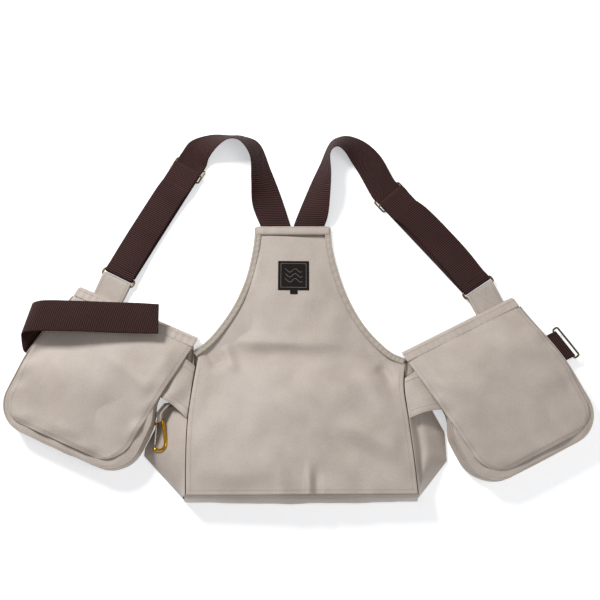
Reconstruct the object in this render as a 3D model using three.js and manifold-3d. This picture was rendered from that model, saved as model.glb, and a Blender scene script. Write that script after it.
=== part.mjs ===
// A soft game vest lying flat on its inner face: a back with a game bag, two side pockets with flaps,
// two webbing shoulder straps, a waist closure and a small carabiner. Millimetres, +Z up, +Y to the neck.
import * as THREE from "three";
import Module from "manifold-3d";
import { mergeVertices } from "three/addons/utils/BufferGeometryUtils.js";

const wasm = await Module();
wasm.setup();

// Driving dimensions
const CLOTH = 1.4; // coated fabric, with its lining or turned edge
const WEB_T = 1.6; // webbing thickness
const WEB_W = 50; // webbing width
const BACK = { top: 128, depth: 44, lining: 2 }; // neck edge, bag's depth, inner panel's thickness
const HEM = 14; // width of the doubled bands
const TOP_HEM = { length: 124, z: 7 };
const BINDING = 9; // width of the binding on the curved edges
const LABEL = { at: [-11, 41], size: 52, tag: [12, 7] };
const POCKET = { from: 6, drawnIn: 18, joined: 115, free: 162, mouth: 16, height: 250, corner: 50, bulge: 1.5 };
const FLAP = { inside: 1.5, short: 4, height: 240, corner: 42, clear: 3 };
const TAB = { x: 170, end: 8, width: 51 };
const RING = { y: -46, width: 58, half: 5.5, wire: 2, z: 6.4, play: 1.8 };
const SLIDER = { half: 12.5, width: 57, wire: 1.5, low: 1.8, high: 9.1, tail: 36 };
const BUCKLE = { x: 247, y: 104, turn: 9, drop: 20, width: 58, length: 12, stub: 18, wire: 1.7, z: 14 };
const CARABINER = { at: [-227, -211, 20.8], tilt: 25, turn: 4, rod: 2.5, gate: 1.7, pin: 0.9 };
// Each side: the flap's inner top corner, the tilt of its top edge, the slider's middle, and the strap's
// two edges from the neck to the slider: the one that lies on the table and the one that leans above it.
const SIDES = [
  {
    name: "left",
    sign: -1,
    corner: [-172, -72],
    tilt: 23.6,
    mouthWidth: 222,
    fullWidth: 240,
    slider: [-198, 235],
    rest: [[-15.5, 118, 4.2], [-17, 131, 4.2], [-33, 184, 1.4], [-52, 236, 1.4], [-72, 285, 1.4],
      [-101, 300, 1.4], [-126, 302, 1.4], [-160, 302, 1.4], [-193, 291, 1.4]],
    lean: [[-63.5, 118, 4.2], [-67, 129, 4.2], [-82, 169, 6], [-84, 207, 27], [-86, 248, 34],
      [-102, 272, 43], [-122, 277, 45], [-143, 269, 31], [-160, 255, 12]],
  },
  {
    name: "right",
    sign: 1,
    corner: [171, -97],
    tilt: 26.6,
    mouthWidth: 213,
    fullWidth: 228,
    slider: [159, 185],
    rest: [[-11.5, 118, 4.2], [-10, 132, 4.2], [3, 168, 1.4], [21, 213, 1.4], [36, 246, 1.4],
      [53, 286, 1.4], [72, 299, 1.4], [95, 298, 1.4], [119, 286, 1.4], [143, 260, 2]],
    lean: [[36, 118, 4.2], [40, 127, 4.2], [48, 148, 17], [52, 187, 31], [53, 217, 37], [52, 252, 39],
      [64, 266, 37], [78, 260, 28], [91, 245, 14], [106, 224, 5]],
  },
];

const COLOURS = {
  fabric: [0xbcb1a6, 0.85, 0],
  webbing: [0x322121, 0.9, 0],
  label: [0x211b18, 0.9, 0],
  brass: [0x82785a, 0.4, 0.9],
  gold: [0xbe8c14, 0.25, 1],
  steel: [0xc8c8c8, 0.25, 1],
};
const vest = new THREE.Group();

function add(name, geometry, slot, parent = vest) {
  const [color, roughness, metalness] = COLOURS[slot];
  const mesh = new THREE.Mesh(geometry, new THREE.MeshStandardMaterial({ color, roughness, metalness }));
  mesh.name = name;
  parent.add(mesh);
  return mesh;
}

const V = (x, y, z = 0) => new THREE.Vector3(x, y, z);
const mix = (a, b, t) => a + (b - a) * t;
const smooth = (t) => {
  const s = Math.min(1, Math.max(0, t));
  return s * s * (3 - 2 * s);
};
const spline = (points) => new THREE.CatmullRomCurve3(points.map((p) => V(...p)), false, "centripetal");

// A closed sheet: the surface over u and v from 0 to 1, made thick by t to both sides of its middle.
function sheet(surface, nu, nv, t = CLOTH) {
  const count = (nu + 1) * (nv + 1);
  const positions = new Float32Array(count * 6);
  const step = 1e-3;
  for (let i = 0; i <= nu; i++)
    for (let j = 0; j <= nv; j++) {
      const [u, v] = [i / nu, j / nv];
      const across = surface(Math.min(u + step, 1), v).sub(surface(Math.max(u - step, 0), v));
      const down = surface(u, Math.min(v + step, 1)).sub(surface(u, Math.max(v - step, 0)));
      const normal = across.cross(down).normalize().multiplyScalar(t / 2);
      const middle = surface(u, v);
      const k = i * (nv + 1) + j;
      middle.clone().add(normal).toArray(positions, k * 3);
      middle.clone().sub(normal).toArray(positions, (k + count) * 3);
    }
  const index = [];
  const quad = (a, b, c, d) => index.push(a, b, c, a, c, d);
  const at = (i, j) => i * (nv + 1) + j;
  for (let i = 0; i < nu; i++)
    for (let j = 0; j < nv; j++) {
      const corners = [at(i, j), at(i + 1, j), at(i + 1, j + 1), at(i, j + 1)];
      quad(...corners);
      quad(...corners.map((k) => k + count).reverse());
    }
  const wall = (a, b) => quad(b, a, a + count, b + count);
  for (let i = 0; i < nu; i++) {
    wall(at(i, 0), at(i + 1, 0));
    wall(at(i + 1, nv), at(i, nv));
  }
  for (let j = 0; j < nv; j++) {
    wall(at(0, j + 1), at(0, j));
    wall(at(nu, j), at(nu, j + 1));
  }
  const geometry = new THREE.BufferGeometry();
  geometry.setAttribute("position", new THREE.BufferAttribute(positions, 3));
  geometry.setIndex(index);
  geometry.computeVertexNormals();
  return geometry;
}

// The surface of a band w wide along a row of points, across the direction side; both may change along it.
function bandSurface(points, side, w) {
  const path = new THREE.CatmullRomCurve3(points, false, "centripetal");
  const width = typeof w === "function" ? w : () => w;
  const across = typeof side === "function" ? side : () => side;
  return (u, v) => path.getPoint(u).addScaledVector(across(u), (0.5 - v) * width(u));
}

// A band's way round a bar: from the lower tail, round the bar's far side, to the upper tail.
// Tails are [distance from the bar, height] pairs along dir.
function foldRound(bar, dir, r, lower, upper) {
  const turn = [-90, -135, 180, 135, 90].map((deg) => {
    const a = THREE.MathUtils.degToRad(deg);
    return bar.clone().addScaledVector(dir, r * Math.cos(a)).add(V(0, 0, r * Math.sin(a)));
  });
  const tail = ([d, z]) => bar.clone().addScaledVector(dir, d).setZ(z);
  return [...lower.map(tail), ...turn, ...upper.map(tail)];
}

function solid(geometry) {
  const plain = geometry.clone();
  plain.deleteAttribute("normal");
  if (plain.hasAttribute("uv")) plain.deleteAttribute("uv");
  const merged = mergeVertices(plain, 1e-4);
  return new wasm.Manifold(new wasm.Mesh({
    numProp: 3,
    vertProperties: merged.attributes.position.array,
    triVerts: new Uint32Array(merged.index.array),
  }));
}

function geometryOf(manifold) {
  const made = manifold.simplify(0.03).getMesh();
  const geometry = new THREE.BufferGeometry();
  geometry.setAttribute("position", new THREE.BufferAttribute(new Float32Array(made.vertProperties), 3));
  geometry.setIndex([...made.triVerts]);
  geometry.computeVertexNormals();
  return geometry;
}

const join = (parts) => geometryOf(parts.map(solid).reduce((a, b) => a.add(b)));
const box = (x, y, z, at) => new THREE.BoxGeometry(x, y, z).translate(...at);

function rodBetween(a, b, r) {
  const along = b.clone().sub(a);
  const turn = new THREE.Quaternion().setFromUnitVectors(V(0, 1, 0), along.clone().normalize());
  return new THREE.CylinderGeometry(r, r, along.length(), 8).applyQuaternion(turn)
    .translate(...a.clone().add(b).multiplyScalar(0.5).toArray());
}

// Round wire through points, with a ball at each; a closed wire also joins its last point to its first.
function wire(points, r, closed = false) {
  const balls = points.map((p) => new THREE.SphereGeometry(r * 1.06, 8, 6).translate(...p.toArray()));
  const rods = points.slice(closed ? 0 : 1).map((p, i) => rodBetween(p, points.at(closed ? i - 1 : i), r));
  return [...balls, ...rods];
}

// Back and game bag
const ARMHOLE = {
  left: [[-75, 128, 3.6], [-76, 105, 3.6], [-81, 70, 3.6], [-91, 30, 3.6], [-109, -12, 3.6], [-131, -47, 4],
    [-154, -75, 5], [-178, -94, 6.4]],
  right: [[50, 128, 3.6], [53, 90, 3.6], [63, 46, 3.6], [80, -2, 3.6], [104, -45, 3.6], [130, -76, 4.4],
    [153, -96, 5.4], [175, -106, 6.6]],
};
const SEAM = {
  left: [[-170, -101, 8], [-176, -150, 20], [-181, -206, 31], [-181, -270, 40], [-179, -325, BACK.depth]],
  right: [[175, -112, 9], [170, -150, 20], [175, -206, 31], [181, -270, 40], [185, -323, BACK.depth]],
};
const HIP = { left: [-252, -250], right: [236, -224] };
const HIP_LOW = { left: [-253, -262], right: [238, -270] };
const CONNECTOR_TOP = { left: 0.16, right: 0.33 }; // share of the upper seam above the connector
const GUSSET_TOP = { left: [-221, -186], right: [216, -186] };
const FOOT = { left: [-186, -332], right: [189, -330] };

function edge(side) {
  const armhole = spline(ARMHOLE[side]);
  const seam = spline(SEAM[side]);
  const share = 0.5;
  return (v) => (v < share ? armhole.getPoint(v / share) : seam.getPoint((v - share) / (1 - share)));
}

function innerPanel() {
  const shape = new THREE.Shape();
  shape.moveTo(ARMHOLE.left[0][0], BACK.top);
  for (const side of ["left", "right"]) {
    const curve = spline(ARMHOLE[side]).getPoints(16).map((p) => [p.x, p.y]);
    const run = [...curve, HIP[side], HIP_LOW[side], FOOT[side]];
    for (const p of side === "left" ? run.slice(1) : run.reverse()) shape.lineTo(...p);
  }
  return new THREE.ExtrudeGeometry(shape, { depth: BACK.lining, bevelEnabled: false });
}

// The outer face starts under the top hem and swells slightly between its seams.
function outerPanel() {
  const [from, to] = [edge("left"), edge("right")];
  const inset = 0.5 / 150; // clear of the side seams, as a share of the half width
  return (u, v) => {
    const w = mix(0.045, 1, v);
    const [a, b] = [from(w), to(w)];
    const p = a.lerp(b, mix(inset, 1 - inset, u));
    p.z += 6 * Math.sin(Math.PI * u) ** 1.6 * smooth(w * 1.6) + 0.3;
    return p;
  };
}

function bottomGusset(u, v) {
  const outer = V(mix(-179, 185, u), mix(-326.6, -325, u), BACK.depth - 1.2);
  const inner = V(mix(-185, 188, u), mix(-333, -331.4, u), 2.9);
  const p = outer.clone().lerp(inner, v);
  p.y -= 3.4 + 5 * Math.sin(Math.PI * v) * Math.sin(Math.PI * u) ** 0.5;
  return p;
}

// From the outer face's side seam down to the inner panel's outer edge.
function sideGusset(side) {
  const sign = side === "left" ? -1 : 1;
  const upper = spline(SEAM[side].slice(1).map(([x, y, z]) => [x + sign * 1.6, y, z - 0.8]));
  const [top, hip, low, foot] = [GUSSET_TOP, HIP, HIP_LOW, FOOT].map((group) => V(...group[side], 3.2));
  const lower = [top, hip, low, foot.add(V(sign * 3, 4, 0))];
  const breaks = [0, 0.42, 0.5, 1];
  const floor = (u) => {
    const i = u < breaks[1] ? 0 : u < breaks[2] ? 1 : 2;
    return lower[i].clone().lerp(lower[i + 1], (u - breaks[i]) / (breaks[i + 1] - breaks[i]));
  };
  return (u, v) => {
    const p = upper.getPoint(mix(0.18, 0.99, u)).lerp(floor(u), v);
    p.z += 2.5 * Math.sin(Math.PI * v) * (1 - u);
    return p;
  };
}

// A strip folded over the curved edge: a band on the outer face, and its side down to the table.
function binding(side) {
  const sign = side === "left" ? -1 : 1;
  const path = spline(ARMHOLE[side]);
  return (u, v) => {
    const p = path.getPoint(mix(0.1, 0.985, u));
    const along = path.getTangent(mix(0.1, 0.985, u));
    const out = V(along.y, -along.x, 0).normalize();
    if (out.x * sign < 0) out.negate();
    const onFace = Math.min(1, v * 2);
    const onSide = Math.max(0, v * 2 - 1);
    p.addScaledVector(out, mix(1.4 - BINDING, 1.7, onFace));
    return p.setZ(mix(p.z + 2.4 + 2 * smooth(u * 2.5 - 1.5), 0.7, onSide));
  };
}

// The panel that joins the back to a pocket: from the bag's side seam to under the flap's inner edge.
function connector(side, { at }) {
  const seam = spline(SEAM[side.name].slice(0, 3).map(([x, y, z]) => [x + side.sign * 2.2, y, z + 1.2]));
  const [top, bottom] = [at(POCKET.drawnIn - 4, 34, 16), at(POCKET.drawnIn - 4, POCKET.joined - 4, 29)];
  return (u, v) => {
    const p = seam.getPoint(mix(CONNECTOR_TOP[side.name], 0.98, v)).lerp(top.clone().lerp(bottom, v), u);
    p.z += 3 * Math.sin(Math.PI * u);
    return p;
  };
}

add("back_inner_panel", innerPanel(), "fabric");
add("bag_outer_panel", sheet(outerPanel(), 8, 22), "fabric");
add("bag_bottom_gusset", sheet(bottomGusset, 12, 4), "fabric");
add("back_top_hem", box(TOP_HEM.length, HEM, 1.2, [-12.5, BACK.top - HEM / 2 + 1, TOP_HEM.z]), "fabric");
const label = [...LABEL.at, 12];
add("woven_label", box(LABEL.size, LABEL.size, 0.8, label), "label");
const tagY = label[1] - LABEL.size / 2 - LABEL.tag[1] / 2 - 0.4;
add("size_tag", box(...LABEL.tag, 0.6, [label[0] + 0.5, tagY, 12]), "label");
for (const side of ["left", "right"]) {
  add(`bag_side_gusset_${side}`, sheet(sideGusset(side), 8, 5), "fabric");
  add(`armhole_binding_${side}`, sheet(binding(side), 22, 4, 1), "fabric");
}

// Side pockets. A pocket's own axes: x outward along the flap's top edge, y down the pocket.
function axesOf(side) {
  const angle = THREE.MathUtils.degToRad(side.tilt);
  const out = V(side.sign * Math.cos(angle), Math.sin(angle));
  const down = V(side.sign * Math.sin(angle), -Math.cos(angle));
  const at = (x, y, z = 0) => V(...side.corner, z).addScaledVector(out, x).addScaledVector(down, y);
  return { out, down, at };
}

// Height of the front face's middle layer: low at the mouth, full depth from there down.
const frontZ = (y) => 11 + 26 * Math.sin((Math.min(1, Math.max(0, y) / 160) * Math.PI) / 2);

// How far a rounded lower corner pulls the side in, at a distance y from the top.
const cornerInset = (y, height, r) => r - Math.sqrt(Math.max(0, r * r - Math.max(0, y - height + r) ** 2));

// The pocket's inner side is drawn in along the stretch where the connector joins it.
const innerSide = (y) =>
  mix(POCKET.drawnIn, POCKET.from, smooth((y - POCKET.joined) / (POCKET.free - POCKET.joined)));

// The outer side spreads from the mouth down to the full width.
const outerSide = (side, y) => mix(side.mouthWidth, side.fullWidth, smooth(y / 150));

const pocketSpan = (side) => (y) => {
  const inset = cornerInset(y, POCKET.height, POCKET.corner);
  return [innerSide(y) + inset, outerSide(side, y) - inset];
};

const flapSpan = (side) => (y) => {
  const inset = cornerInset(y, FLAP.height, FLAP.corner);
  return [0.1 * y + inset, outerSide(side, y) - FLAP.inside - FLAP.short * smooth((y - 130) / 60) - inset];
};

// A face of the pocket: rows from y = top to bottom, closer together at the rounded corners.
function face(at, span, top, bottom, height) {
  return (u, v) => {
    const y = mix(top, bottom, Math.sin((v * Math.PI) / 2));
    const [a, b] = span(y);
    return at(mix(a, b, u), y, height(y, u));
  };
}

function pocketOutline(side) {
  const { from, mouth, height, corner } = POCKET;
  const to = side.fullWidth;
  const path = new THREE.Path();
  path.moveTo(innerSide(mouth), mouth);
  for (let y = POCKET.joined; y < height - corner; y += 12) path.lineTo(innerSide(y), y);
  path.lineTo(from, height - corner);
  path.absarc(from + corner, height - corner, corner, Math.PI, Math.PI / 2, true);
  path.lineTo(to - corner, height);
  path.absarc(to - corner, height - corner, corner, Math.PI / 2, 0, true);
  for (let y = 150; y > mouth; y -= 12) path.lineTo(outerSide(side, y), y);
  path.lineTo(outerSide(side, mouth), mouth);
  return path.getSpacedPoints(56);
}

// The wall between the pocket's back and front, from the mouth's inner end round to its outer end.
function gusset(side, at) {
  const points = pocketOutline(side);
  const middle = (POCKET.from + side.fullWidth) / 2;
  return (u, v) => {
    const k = Math.min(points.length - 1.001, u * (points.length - 1));
    const p = points[Math.floor(k)].clone().lerp(points[Math.floor(k) + 1], k % 1);
    const swell = POCKET.bulge * Math.sin(Math.PI * v);
    const away = new THREE.Vector2(p.x - middle, Math.max(0, p.y - POCKET.height + POCKET.corner)).normalize();
    return at(p.x + away.x * swell, p.y + away.y * swell, mix(3, frontZ(p.y) - 1.3, v));
  };
}

function pocket(side) {
  const { name } = side;
  const { out, at } = axesOf(side);
  const raised = (lift) => (y) => frontZ(y) + lift;
  const bottom = POCKET.height - 0.6;
  add(`${name}_pocket_back`, sheet(face(at, pocketSpan(side), -4, bottom, () => 1.2), 6, 12), "fabric");
  add(`${name}_pocket_gusset`, sheet(gusset(side, at), 56, 2), "fabric");
  const front = face(at, pocketSpan(side), POCKET.mouth, bottom, frontZ);
  add(`${name}_pocket_front`, sheet(front, 8, 14), "fabric");
  const mouthTape = () => [POCKET.drawnIn + 3, side.mouthWidth - 3];
  const tape = face(at, mouthTape, POCKET.mouth, POCKET.mouth + BINDING, raised(1.45));
  add(`${name}_pocket_binding`, sheet(tape, 8, 2, 0.8), "fabric");
  const lid = face(at, flapSpan(side), 0, FLAP.height - 0.6, raised(FLAP.clear));
  add(`${name}_flap`, sheet(lid, 8, 16), "fabric");
  const hem = face(at, (y) => [0.1 * y, outerSide(side, y) - FLAP.inside], 0, HEM, raised(FLAP.clear + 1.6));
  add(`${name}_flap_hem`, sheet(hem, 8, 3, 0.9), "fabric");
  add(`side_connector_${name}`, sheet(connector(side, { at }), 6, 6), "fabric");
  return { out, at };
}

// A flat frame of round wire: a low loop, and for a slider a raised middle bar between its ends.
function frame(origin, along, across, half, width, r, low, high) {
  const corner = (a, b, z) => origin.clone().addScaledVector(along, a).addScaledVector(across, b).setZ(z);
  const w = width / 2;
  const loop = wire([corner(-half, -w, low), corner(half, -w, low), corner(half, w, low), corner(-half, w, low)],
    r, true);
  const bar = high ? wire([-w, w].flatMap((b) => (b < 0 ? [low, high] : [high, low]).map((z) => corner(0, b, z))), r)
    : [];
  return join([...loop, ...bar]);
}

const perpendicular = (d) => V(-d.y, d.x);

function shoulder(side, { out, at }) {
  const { name, sign } = side;
  const ringMiddle = at(TAB.x, RING.y, RING.z);
  const slider = V(...side.slider);
  const run = ringMiddle.clone().setZ(0).sub(slider);
  const towards = run.clone().normalize();
  const tabDir = at(0, 1).sub(at(0, 0));
  const ringDir = towards.clone().add(tabDir).normalize(); // the ring settles between the strap and the tab
  const across = perpendicular(ringDir);
  const turn = RING.wire + 0.6 + WEB_T / 2;
  add(`${name}_ring`, frame(ringMiddle, ringDir, across, RING.half, RING.width, RING.wire, RING.z), "brass");

  const lowerBar = ringMiddle.clone().addScaledVector(ringDir, RING.half);
  const far = TAB.end - RING.y - RING.half;
  const tab = foldRound(lowerBar, tabDir, turn, [[far, 3.2], [far / 2, 3.2]], [[far / 2, 8], [far, 5.3]]);
  add(`${name}_strap_tab`, sheet(bandSurface(tab, across, TAB.width), 16, 1, WEB_T), "fabric");

  const upperBar = ringMiddle.clone().addScaledVector(ringDir, -RING.half);
  const length = upperBar.clone().setZ(0).distanceTo(slider);
  const width = perpendicular(towards).multiplyScalar((sign * WEB_W) / 2);
  const level = (s, z) => [1, -1].map((k) => slider.clone().addScaledVector(towards, s).addScaledVector(width, k).setZ(z));
  const straight = [level(-22, 4.7), level(-8, 4.6), level(20, 4.6), level(length * 0.6, 4.5),
    level(length - 5, 3.2)];
  const [rest, lean] = [side.rest, side.lean].map((row, k) => {
    const points = [...row.map((p) => V(...p)), ...straight.map((pair) => pair[k])];
    return new THREE.CatmullRomCurve3(points, false, "catmullrom", 0.5);
  });
  const strap = (u, v) => rest.getPoint(u).lerp(lean.getPoint(u), v);
  const steps = (side.rest.length + straight.length - 1) * 3;
  add(`${name}_shoulder_strap`, sheet(strap, steps, 2, WEB_T), "webbing");

  const back = towards.clone().negate();
  const square = perpendicular(towards);
  const twist = (u) => across.clone().lerp(square, smooth((u - 0.3) / 0.4));
  const reach = length - SLIDER.tail - 1;
  const slack = upperBar.clone().setZ(RING.z + RING.play / 2);
  const upper = foldRound(slack, back, turn + RING.play / 2, [],
    [[30, 11.4], [reach * 0.6, 11.2], [reach, 11.8]]);
  add(`${name}_strap_return`, sheet(bandSurface(upper, twist, WEB_W), 26, 1, WEB_T), "webbing");

  const sliderBar = slider.clone().setZ(SLIDER.high);
  const loopTurn = SLIDER.wire + 0.35 + WEB_T / 2;
  const tail = foldRound(sliderBar, towards, loopTurn,
    [[SLIDER.tail, 6.5], [14, 6.45]], [[14, 11.75], [SLIDER.tail, 11.8]]);
  add(`${name}_strap_end`, sheet(bandSurface(tail, square, WEB_W), 16, 1, WEB_T), "webbing");
  const sliderFrame = frame(slider, towards, square, SLIDER.half, SLIDER.width, SLIDER.wire,
    SLIDER.low, SLIDER.high);
  add(`${name}_slider`, sliderFrame, "brass");
}

const frames = SIDES.map((side) => pocket(side));
SIDES.forEach((side, i) => shoulder(side, frames[i]));

// Waist closure: on the left a loose strap folded back over the flap, on the right a stub with a slider.
const left = frames[0];
const rootDir = left.out;
const rootSide = left.at(0, -1).sub(left.at(0, 0));
const root = [left.at(242.4, 108, 19), left.at(245, 108, 21), left.at(250, 107, 27), left.at(253, 105, 35)];
add("left_waist_strap_root", sheet(bandSurface(root, rootSide, WEB_W), 8, 2, WEB_T), "webbing");
const foldTop = [[-441, -22, 44], [-436, -19, 55], [-424, -17, 62], [-405, -16, 62], [-365, -16, 57],
  [-310, -16, 48], [-262, -16, 41], [-234, -17, 38]];
const foldLow = [[-455, -70, 44], [-450, -68, 55], [-438, -67, 62], [-405, -66, 62], [-365, -66, 57],
  [-310, -66, 48], [-262, -66, 41], [-233, -66, 38]];
const [top, low] = [foldTop, foldLow].map(spline);
add("left_waist_strap", sheet((u, v) => top.getPoint(u).lerp(low.getPoint(u), v), 22, 2, WEB_T), "webbing");

const right = frames[1];
const spin = THREE.MathUtils.degToRad(BUCKLE.turn);
const buckleOut = right.out.clone().applyAxisAngle(V(0, 0, 1), spin);
const buckleBar = perpendicular(buckleOut);
const innerBar = right.at(BUCKLE.x, BUCKLE.y, BUCKLE.z);
const drop = THREE.MathUtils.degToRad(BUCKLE.drop);
const sloped = buckleOut.clone().multiplyScalar(Math.cos(drop)).add(V(0, 0, -Math.sin(drop)));
const end = (a, b) => innerBar.clone().addScaledVector(sloped, a).addScaledVector(buckleBar, b);
const w = BUCKLE.width / 2;
const buckleLoop = wire([end(0, -w), end(BUCKLE.length, -w), end(BUCKLE.length, w), end(0, w)], BUCKLE.wire, true);
add("waist_buckle", join(buckleLoop), "brass");
const stubTurn = BUCKLE.wire + 0.35 + WEB_T / 2;
const stub = foldRound(innerBar, right.out.clone().negate(), stubTurn,
  [[BUCKLE.stub, BUCKLE.z - stubTurn]], [[BUCKLE.stub, BUCKLE.z + stubTurn]]);
add("right_waist_stub", sheet(bandSurface(stub, buckleBar, WEB_W), 10, 1, WEB_T), "webbing");

// Carabiner: its own plane leans with the bag's side gusset. p runs across it, q down it.
const turnQ = new THREE.Quaternion().setFromEuler(new THREE.Euler(0, THREE.MathUtils.degToRad(-CARABINER.tilt),
  THREE.MathUtils.degToRad(CARABINER.turn)));
const eye = V(...CARABINER.at);
const onPlane = (p, q, n = 0) => V(p, -q, n).applyQuaternion(turnQ).add(eye);
const arc = [0, 45, 90, 135].map((deg) => {
  const a = THREE.MathUtils.degToRad(deg);
  return [6 * Math.cos(a), -6 * Math.sin(a)];
});
const spine = [[-11.5, 37.5], [-8.5, 42], [-3.5, 43.2], [4, 42.4], [9, 38.5], [10, 32]];
const bodyWire = wire([...spine, ...arc].map(([p, q]) => onPlane(p, q)), CARABINER.rod);
const hinge = [-6.2, 0.5];
const gateEnd = [-11, 32.6];
const normal = onPlane(0, 0, 1).sub(eye);
const disc = (p, q, r, thick) => rodBetween(onPlane(p, q, -thick / 2), onPlane(p, q, thick / 2), r);
const cheeks = disc(...hinge, 3, 5);
const slot = disc(...hinge, 4.2, 2.6);
const hole = disc(...hinge, CARABINER.pin + 0.12, 12);
const bodySolid = [...bodyWire, cheeks].map(solid).reduce((a, b) => a.add(b));
add("carabiner_body", geometryOf(bodySolid.subtract(solid(slot)).subtract(solid(hole))), "gold");
const neckEnd = onPlane(hinge[0] - 0.9, hinge[1] + 6);
const gateRod = wire([neckEnd, onPlane(...gateEnd)], CARABINER.gate);
const neck = rodBetween(onPlane(...hinge), neckEnd, 1);
const gateEye = disc(...hinge, 2.2, 2);
const gateSolid = [...gateRod, neck, gateEye].map(solid).reduce((a, b) => a.add(b));
add("carabiner_gate", geometryOf(gateSolid.subtract(solid(hole))), "steel");
add("carabiner_gate_pin", disc(...hinge, CARABINER.pin, 5), "steel");
const loopBar = onPlane(0, -6);
const loopDir = onPlane(0, -1).sub(eye).setZ(0).normalize();
const loopTurn = CARABINER.rod + 2 + 0.6;
const loopRoot = loopBar.clone().add(V(12, 27));
const loopPath = [
  loopRoot.clone().setZ(16.5),
  ...foldRound(loopBar, loopDir, loopTurn, [[9, 15.8]], [[9, 25.4]]),
  loopRoot.clone().setZ(19.5),
];
const loopWidth = (u) => mix(3.6, 13, Math.abs(2 * u - 1) ** 3);
add("carabiner_loop", sheet(bandSurface(loopPath, onPlane(1, 0).sub(eye), loopWidth), 16, 1, 1.2), "fabric");

// The origin is on the table, below the middle of the whole vest.
vest.updateMatrixWorld(true);
const bounds = new THREE.Box3().setFromObject(vest, true);
const middle = bounds.getCenter(V(0, 0));
vest.position.set(-middle.x, -middle.y, -bounds.min.z);

export default vest;
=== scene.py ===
import math

import bpy
import numpy as np
from mathutils import Matrix, Vector
from mathutils.bvhtree import BVHTree


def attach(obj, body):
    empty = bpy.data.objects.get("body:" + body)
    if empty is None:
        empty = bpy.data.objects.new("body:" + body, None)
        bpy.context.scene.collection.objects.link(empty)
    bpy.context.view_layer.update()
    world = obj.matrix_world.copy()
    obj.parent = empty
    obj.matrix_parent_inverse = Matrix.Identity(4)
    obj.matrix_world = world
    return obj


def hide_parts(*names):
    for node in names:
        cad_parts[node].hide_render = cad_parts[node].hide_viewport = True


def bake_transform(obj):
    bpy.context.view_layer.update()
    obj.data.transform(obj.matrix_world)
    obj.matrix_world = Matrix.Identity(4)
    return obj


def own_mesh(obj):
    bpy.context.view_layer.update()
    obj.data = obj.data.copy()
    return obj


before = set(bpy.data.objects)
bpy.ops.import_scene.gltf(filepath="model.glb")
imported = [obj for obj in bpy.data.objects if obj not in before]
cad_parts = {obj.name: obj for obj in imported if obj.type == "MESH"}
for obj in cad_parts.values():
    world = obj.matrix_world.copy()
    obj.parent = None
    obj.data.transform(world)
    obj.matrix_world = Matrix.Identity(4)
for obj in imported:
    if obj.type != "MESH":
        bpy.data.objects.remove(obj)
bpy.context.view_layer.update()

MM = 0.001

# ---------------------------------------------------------------- measures, in millimetres
# The drawing's own origin lies this far from the frame's.
SHIFT = np.array([3.1, 17.4, 0.0])
CLOTH = 1.1
WEB_T = 1.6
WEB_W = 50.0
HEM = 14.0
BINDING = 9.0
BACK_TOP = 128.0
NECK = (-75.0, 50.0)  # the two ends of the top edge
ABOVE_LINING = 3.4  # lowest middle height of the outer panel
BAG_DEPTH = 44.0
LABEL_AT = (-11.0, 41.0)
LABEL_SIZE = 52.0
TAG = (12.0, 7.0)
POCKET = dict(start=6.0, drawn_in=18.0, joined=115.0, free=162.0, mouth=16.0, height=250.0, corner=50.0)
FLAP = dict(inside=1.5, short=4.0, height=240.0, corner=42.0, clear=3.0)
TAB = dict(x=170.0, end=8.0, width=51.0)
RING = dict(y=-46.0, width=58.0, half=5.5, wire=2.0, z=6.4, play=1.8)
SLIDER = dict(half=12.5, width=57.0, wire=1.5, low=1.8, high=9.1, tail=36.0, travel=100.0)
BUCKLE = dict(x=247.0, y=104.0, turn=9.0, drop=20.0, width=58.0, length=12.0, wire=1.7, z=14.0, stub=19.0)
CARABINER = dict(at=(-227.0, -211.0, 20.8), tilt=25.0, turn=4.0, rod=2.5)
# Each side: the flap's inner top corner and tilt, the slider's middle, where the strap bends between bodies,
# how far its return layer bows, how loose the pocket's side is, and the strap's two edges from the neck down.
SIDES = {
    "left": dict(
        sign=-1, corner=(-172, -72), tilt=23.6, mouth_width=222, full_width=240, slider=(-198, 235),
        bend=(-66, -160), bow=-2.5, loose=0.6, seed=20,
        rest=[(-15.5, 118, 4.2), (-17, 131, 4.2), (-33, 184, 1.4), (-52, 236, 1.4), (-72, 285, 1.4),
              (-101, 300, 1.4), (-126, 302, 1.4), (-160, 302, 1.4), (-193, 291, 1.4)],
        lean=[(-63.5, 118, 4.2), (-67, 129, 4.2), (-82, 169, 6), (-84, 207, 27), (-86, 248, 34),
              (-102, 272, 43), (-122, 277, 45), (-143, 269, 31), (-160, 255, 12)]),
    "right": dict(
        sign=1, corner=(171, -97), tilt=26.6, mouth_width=213, full_width=228, slider=(159, 185),
        bend=(54, 126), bow=6.0, loose=5.0, seed=40,
        rest=[(-11.5, 118, 4.2), (-10, 132, 4.2), (3, 168, 1.4), (21, 213, 1.4), (36, 246, 1.4),
              (53, 286, 1.4), (72, 299, 1.4), (95, 298, 1.4), (119, 286, 1.4), (143, 260, 2)],
        lean=[(36, 118, 4.2), (40, 127, 4.2), (48, 148, 17), (52, 187, 31), (53, 217, 37), (52, 252, 39),
              (64, 266, 37), (78, 260, 28), (91, 245, 14), (106, 224, 5)]),
}
ARMHOLE = {
    "left": [(-75, 128, 3.6), (-76, 105, 3.6), (-81, 70, 3.6), (-91, 30, 3.6), (-109, -12, 3.6),
             (-131, -47, 4), (-154, -75, 5), (-178, -94, 6.4)],
    "right": [(50, 128, 3.6), (53, 90, 3.6), (63, 46, 3.6), (80, -2, 3.6), (104, -45, 3.6), (130, -76, 4.4),
              (153, -96, 5.4), (175, -106, 6.6)],
}
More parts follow.
